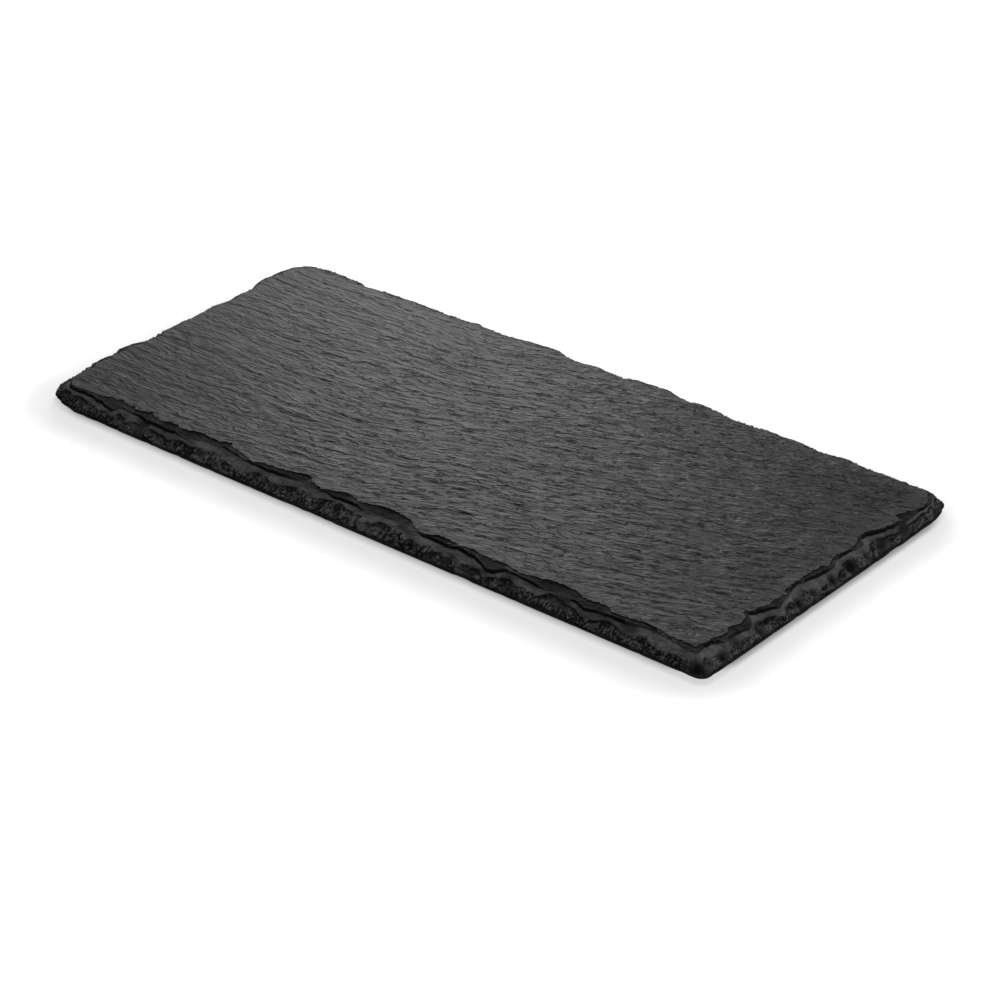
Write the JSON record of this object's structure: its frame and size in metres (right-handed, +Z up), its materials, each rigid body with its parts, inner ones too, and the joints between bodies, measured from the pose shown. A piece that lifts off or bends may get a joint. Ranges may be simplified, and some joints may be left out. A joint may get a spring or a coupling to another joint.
{
  "type": "slate serving board",
  "caption": "Long rectangular riven slate board with hewn edges, for serving food, on small round rubber pads.",
  "frame": {"origin": "under the middle of the board, on the surface that the pads rest on", "axes": "+X along the long edges, +Y towards the back long edge, +Z up out of the serving face"},
  "size_m": [0.3, 0.145, 0.008],
  "materials": {
    "slate": "riven, matt with a faint sheen",
    "pad_rubber": "matt black rubber",
    "adhesive": "milky acrylic film"
  },
  "bodies": {
    "root": {"slate_slab": "slate", "foot_front_left": "pad_rubber", "foot_front_right": "pad_rubber", "foot_back_left": "pad_rubber", "foot_back_right": "pad_rubber", "adhesive_front_left": "adhesive", "adhesive_front_right": "adhesive", "adhesive_back_left": "adhesive", "adhesive_back_right": "adhesive"}
  },
  "joints": []
}
